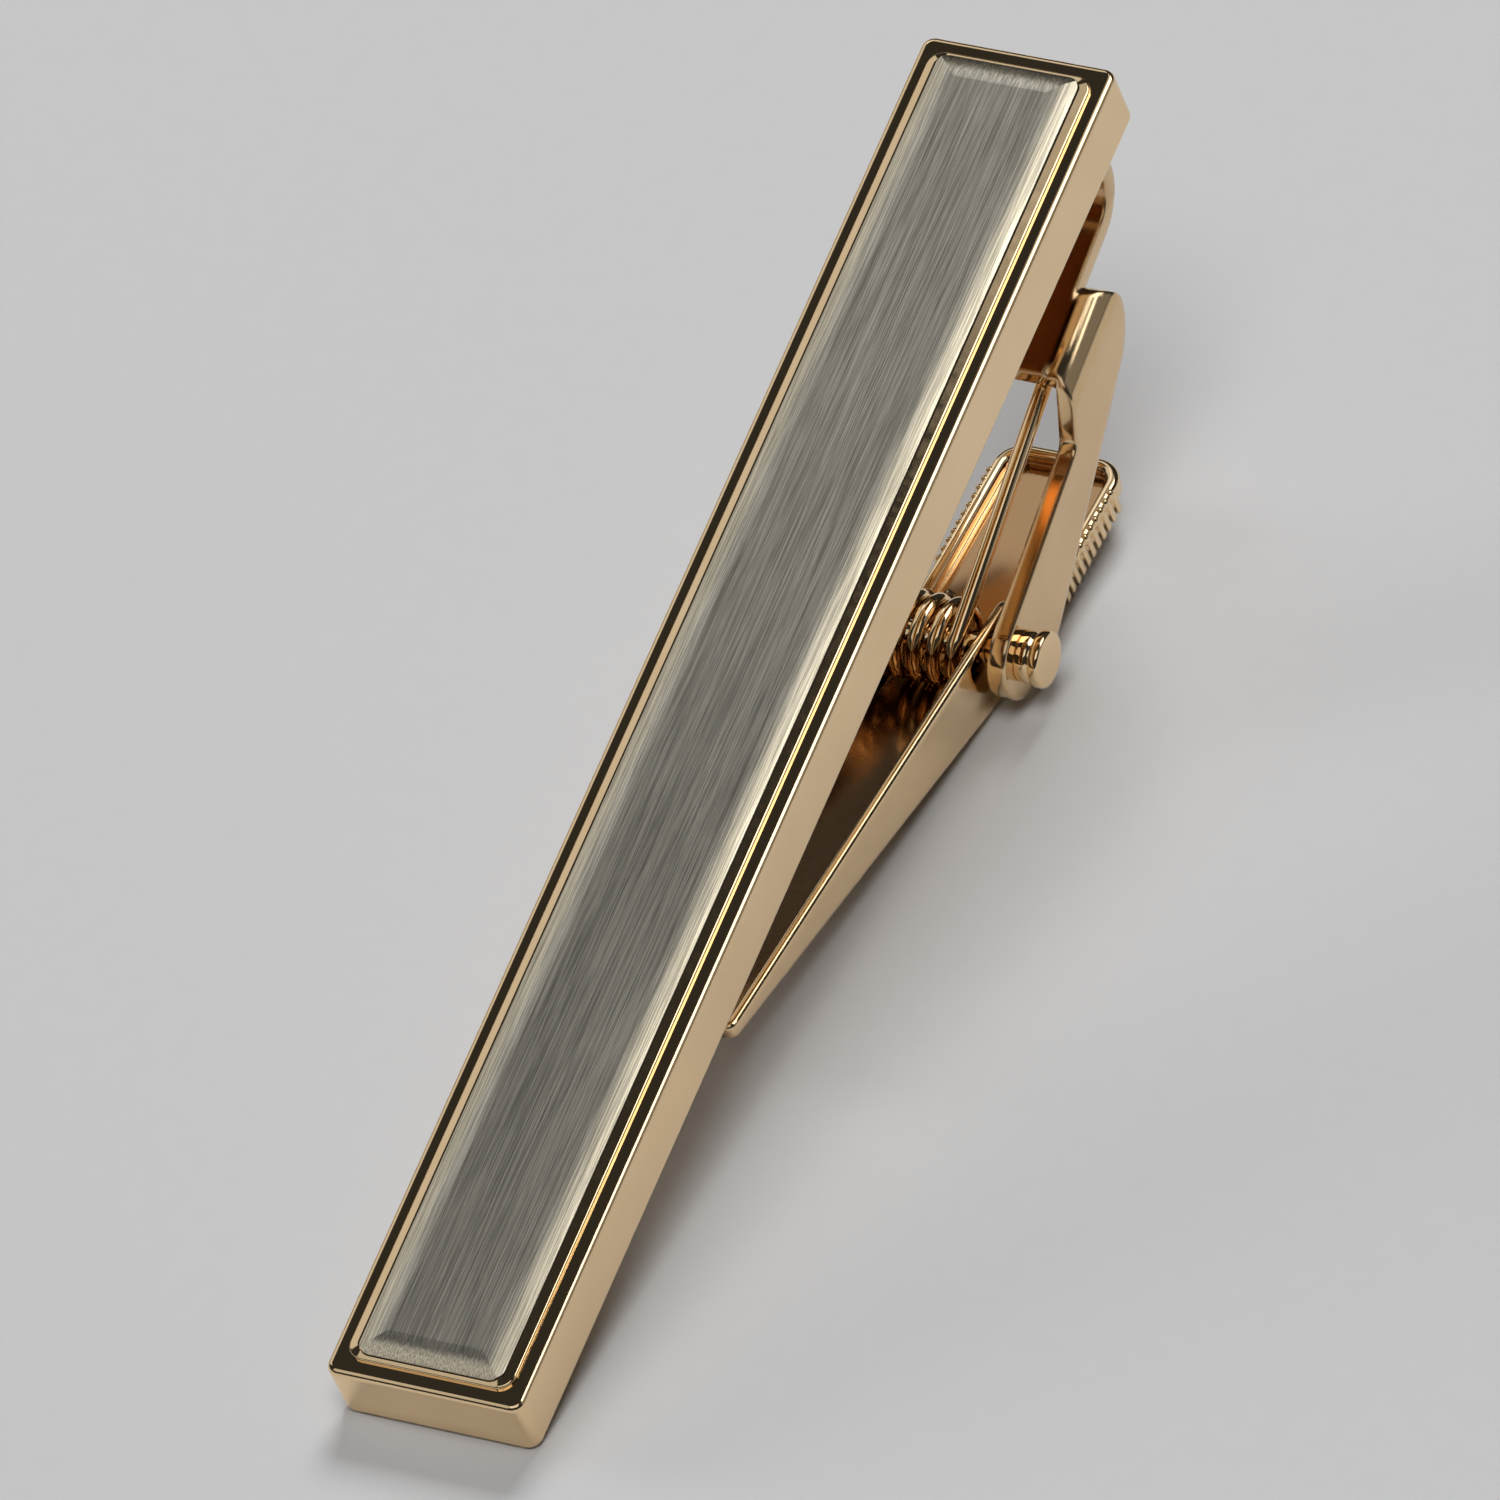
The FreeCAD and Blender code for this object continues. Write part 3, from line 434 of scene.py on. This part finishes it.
def wire_mesh(name, path, radius):
    """A round wire along a path, with its ends rounded over."""
    tip = radius * TIP_LENGTH
    start = path[0].lerp(path[1], tip / (path[1] - path[0]).length)
    end = path[-1].lerp(path[-2], tip / (path[-2] - path[-1]).length)
    points = [(path[0], TIP_END), (path[0].lerp(start, TIP_STEP), TIP_SHOULDER), (start, 1.0)]
    points += [(p, 1.0) for p in path[1:-1]]
    points += [(end, 1.0), (path[-1].lerp(end, TIP_STEP), TIP_SHOULDER), (path[-1], TIP_END)]
    curve = bpy.data.curves.new(name, "CURVE")
    curve.dimensions = "3D"
    curve.bevel_depth = radius
    curve.bevel_resolution = WIRE_ROUNDNESS
    curve.use_fill_caps = True
    spline = curve.splines.new("POLY")
    spline.points.add(len(points) - 1)
    for point, (place, share) in zip(spline.points, points):
        point.co = (*place, 1)
        point.radius = share
    holder = add_object(name, curve)
    bpy.context.view_layer.update()
    shaped = holder.evaluated_get(bpy.context.evaluated_depsgraph_get())
    mesh = bpy.data.meshes.new_from_object(shaped)
    bpy.data.objects.remove(holder)
    bpy.data.curves.remove(curve)
    mesh.name = name
    mesh.shade_smooth()
    return add_object(name, mesh)


# Thumb tail: its rim rolled over, with a row of beads along each side

KNEE_X, KNEE_DEPTH = 39.8, 11.9
TAIL_DROP, TAIL_RUN = 2.08, 11.2
RIM_HEIGHT = 0.958
TAIL_HALF = 2.275
TAIL_START, TAIL_END = 42.7, 50.775
TAIL_TURN = 0.875
RIM_RADIUS = 0.26
RIM_SINK = 0.12
CORNER_STEPS = 10
BEAD_FIRST, BEAD_PITCH, BEAD_COUNT = 45.0, 0.45, 11
BEAD_SIZE = (0.2, 0.2, 0.3)
BEAD_Y = 2.42
BEAD_SEGMENTS, BEAD_RINGS = 20, 12


def rim_top(x):
    """Height of the tail's rim in the bar's axes."""
    return -(KNEE_DEPTH + TAIL_DROP / TAIL_RUN * (x - KNEE_X)) + RIM_HEIGHT


def rim_path():
    """The middle of the rolled rim: along one side, round the end and back along the other."""
    flat = [(TAIL_START, TAIL_HALF)]
    for side in (1, -1):
        for i in range(CORNER_STEPS + 1):
            angle = math.pi / 2 * (i / CORNER_STEPS if side > 0 else 1 - i / CORNER_STEPS)
            x = TAIL_END - TAIL_TURN * (1 - math.sin(angle))
            flat.append((x, side * (TAIL_HALF - TAIL_TURN * (1 - math.cos(angle)))))
    flat.append((TAIL_START, -TAIL_HALF))
    return [at(x, y + LEVER_Y, rim_top(x) - RIM_SINK) for x, y in flat]


def bead_rows(name):
    turn = Matrix((ALONG, ACROSS, UP)).transposed().to_4x4()
    size = Matrix.Diagonal((*(length * MM for length in BEAD_SIZE), 1))
    made = bmesh.new()
    for i in range(BEAD_COUNT):
        x = BEAD_FIRST + i * BEAD_PITCH
        for side in (1, -1):
            place = at(x, side * BEAD_Y + LEVER_Y, rim_top(x) - RIM_SINK)
            bmesh.ops.create_uvsphere(
                made,
                u_segments=BEAD_SEGMENTS,
                v_segments=BEAD_RINGS,
                radius=1,
                matrix=Matrix.Translation(place) @ turn @ size,
            )
    mesh = bpy.data.meshes.new(name)
    made.to_mesh(mesh)
    made.free()
    mesh.shade_smooth()
    return add_object(name, mesh)


for piece in (wire_mesh("tail_rim", rim_path(), RIM_RADIUS * MM), bead_rows("tail_beads")):
    dress(piece, gold)
    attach(piece, "lever")

# Torsion spring: a close-wound coil round the pin, with a leg under the web and a leg on the tail

WIRE = 0.62
COIL_RADIUS = 1.38
COIL_PITCH = 0.78
COIL_START = -1.6
COIL_TURNS = 3
LEG_SPLAY = 0.62
LEG_GAP = 0.03
WEB_UNDERSIDE = (49.9, -4.915)
TAIL_TOP = (43.6, -12.148)
STEPS_PER_TURN = 64


def touch(point, side):
    """Angle round the pin where the line from a point of the side view touches the coil."""
    dx, dz = point[0] - PIN_X, point[1] - PIN_Z
    return math.atan2(dz, dx) + side * math.acos(COIL_RADIUS / math.hypot(dx, dz))


def spring_path():
    """The middle of the wire from the web to the tail, and the coil's length across the clip."""
    reach = WIRE / 2 + LEG_GAP
    web_end = (WEB_UNDERSIDE[0], WEB_UNDERSIDE[1] - reach)
    tail_end = (TAIL_TOP[0], TAIL_TOP[1] + reach)
    first = touch(web_end, 1)
    last = touch(tail_end, -1) + 2 * math.pi * (COIL_TURNS + 1)
    turn = last - first
    rise = COIL_PITCH * turn / (2 * math.pi)
    steps = round(STEPS_PER_TURN * turn / (2 * math.pi))
    path = [at(web_end[0], COIL_START - LEG_SPLAY, web_end[1])]
    for i in range(steps + 1):
        angle = first + turn * i / steps
        x, z = PIN_X + COIL_RADIUS * math.cos(angle), PIN_Z + COIL_RADIUS * math.sin(angle)
        path.append(at(x, COIL_START + rise * i / steps, z))
    path.append(at(tail_end[0], COIL_START + rise, tail_end[1]))
    return path, rise


path, rise = spring_path()
spring = wire_mesh("spring_wire", path, WIRE / 2 * MM)
dress(spring, wire_gold)
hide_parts("torsion_spring")
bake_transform(spring)

# Table

TABLE_SIZE = 3.0
TABLE_COLOUR = (0.66, 0.66, 0.665)
TABLE_MOTTLE = 0.985, 1.015
PAPER_SCALE, PAPER_DETAIL = (900, 900, 900), 3
PAPER_ROUGHNESS = 0.9
PAPER_SPECULAR = 0.1

half = TABLE_SIZE / 2
corners = [(-half, -half, 0), (half, -half, 0), (half, half, 0), (-half, half, 0)]
table_mesh = bpy.data.meshes.new("table")
table_mesh.from_pydata(corners, [], [(0, 1, 2, 3)])
table = add_object("table", table_mesh)
card, tree, shader = new_material("grey_card")
paper = noise(tree, placed(tree, PAPER_SCALE), PAPER_DETAIL)
shades = [[c * share for c in TABLE_COLOUR] for share in TABLE_MOTTLE]
tree.links.new(mixed(tree, paper, *shades), shader.inputs["Base Color"])
shader.inputs["Roughness"].default_value = PAPER_ROUGHNESS
shader.inputs["Specular IOR Level"].default_value = PAPER_SPECULAR
dress(table, card)

# Lights. The metal mirrors the first set, which does not light the table. The second set lights the
# table and gives the shadows, and the metal does not mirror it.

CENTRE = (cad_low + cad_high) / 2


def add_light(name, width, height, level):
    """An area light; level is its brightness as seen, 1 being white."""
    lamp = bpy.data.lights.new(name, "AREA")
    lamp.shape = "RECTANGLE"
    lamp.size, lamp.size_y = width, height
    lamp.energy = level * math.pi * width * height
    holder = add_object(name, lamp)
    holder.rotation_mode = "QUATERNION"
    return holder


def softbox(name, azimuth, elevation, distance, width, height, level):
    """A light that faces the clip, from a direction in degrees."""
    turn, lift = math.radians(azimuth), math.radians(elevation)
    flat = math.cos(lift)
    way = Vector((math.cos(turn) * flat, math.sin(turn) * flat, math.sin(lift)))
    holder = add_light(name, width, height, level)
    holder.location = CENTRE + way * distance
    holder.rotation_quaternion = way.to_track_quat("Z", "Y")
    return holder


def ceiling_panel(name, x_range, y_range, height, level):
    """A light that faces straight down."""
    holder = add_light(name, x_range[1] - x_range[0], y_range[1] - y_range[0], level)
    holder.location = (sum(x_range) / 2, sum(y_range) / 2, height)
    return holder


MIRRORED = [
    softbox("left_box", 70, 30, 0.55, 0.42, 0.42, 0.60),
    softbox("far_box", 38, 45, 0.8, 0.36, 0.30, 0.62),
    softbox("near_box", 145, 42, 0.8, 0.40, 0.50, 0.5),
    ceiling_panel("right_mid", (0.30, 1.40), (-0.38, 0.17), 1.5, 0.45),
    ceiling_panel("right_white", (0.26, 1.40), (-1.75, -0.38), 1.5, 2.6),
    softbox("right_wall", -70, 22, 1.2, 0.80, 0.90, 0.2),
    softbox("front_box", 200, 52, 0.9, 0.80, 0.50, 0.85),
]
for light in MIRRORED:
    light.visible_diffuse = False
TABLE_LIGHTS = [
    softbox("far_key", 10, 48, 1.0, 0.40, 0.40, 10.6),
    softbox("front_key", 207, 65, 1.0, 0.45, 0.45, 6.9),
    softbox("low_left", 97, 18, 1.0, 0.30, 0.30, 7.5),
]
for light in TABLE_LIGHTS:
    light.visible_glossy = False

ROOM = 0.03
world = bpy.data.worlds.new("room")
bpy.context.scene.world = world
world.use_nodes = True
backdrop = next(n for n in world.node_tree.nodes if n.type == "BACKGROUND")
backdrop.inputs["Color"].default_value = (ROOM, ROOM, ROOM, 1)

# Camera, at the photograph's viewing angle

CAMERA_PLACE = Vector((-502.061, -317.556, 501.196)) * MM
CAMERA_AIM = Vector((-0.903, -1.026, 9.698)) * MM
CAMERA_ROLL = math.radians(-10.604)
CAMERA_LENS = 521.27
SENSOR = 36.0
CLIP_NEAR, CLIP_FAR = 0.01, 20

camera_data = bpy.data.cameras.new("camera")
camera_data.lens = CAMERA_LENS
camera_data.sensor_width = SENSOR
camera_data.clip_start, camera_data.clip_end = CLIP_NEAR, CLIP_FAR
camera = add_object("camera", camera_data)
camera.location = CAMERA_PLACE
camera.rotation_mode = "QUATERNION"
aim = (CAMERA_AIM - CAMERA_PLACE).to_track_quat("-Z", "Y")
camera.rotation_quaternion = aim @ Quaternion((0, 0, 1), CAMERA_ROLL)
bpy.context.scene.camera = camera
bpy.context.scene.view_settings.view_transform = "Standard"
